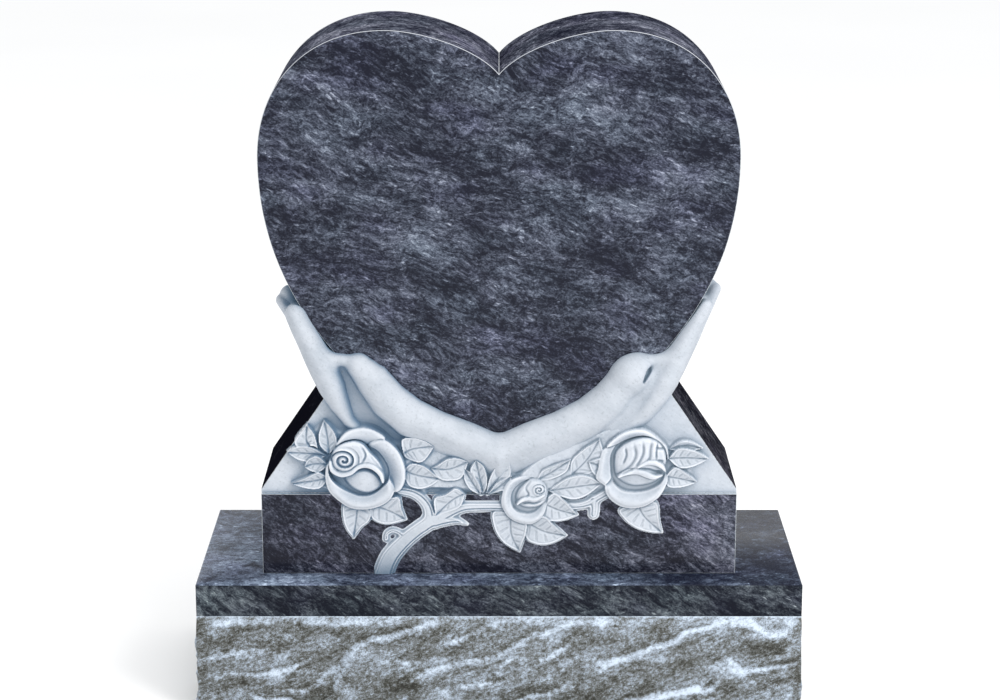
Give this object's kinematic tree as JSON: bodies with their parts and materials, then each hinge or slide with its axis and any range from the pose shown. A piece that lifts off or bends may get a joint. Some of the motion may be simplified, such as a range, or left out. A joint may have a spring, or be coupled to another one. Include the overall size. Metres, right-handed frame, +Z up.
{
  "type": "granite monument",
  "caption": "Upright memorial: a heart-shaped tablet held by carved hands above a spray of roses, standing on a slab base with rock-pitched sides.",
  "frame": {"origin": "centre of the underside of the base", "axes": "+X to the viewer's right, +Y to the back, +Z up; the carved front faces -Y"},
  "size_m": [0.9344, 0.3756, 1.032],
  "materials": {
    "base_stone": "blue-grey granite, polished top and margin, rock-pitched sides",
    "tablet_stone": "polished dark blue-grey granite, carving frosted pale grey"
  },
  "bodies": {
    "root": {"base": "base_stone", "tablet": "tablet_stone"}
  },
  "joints": []
}
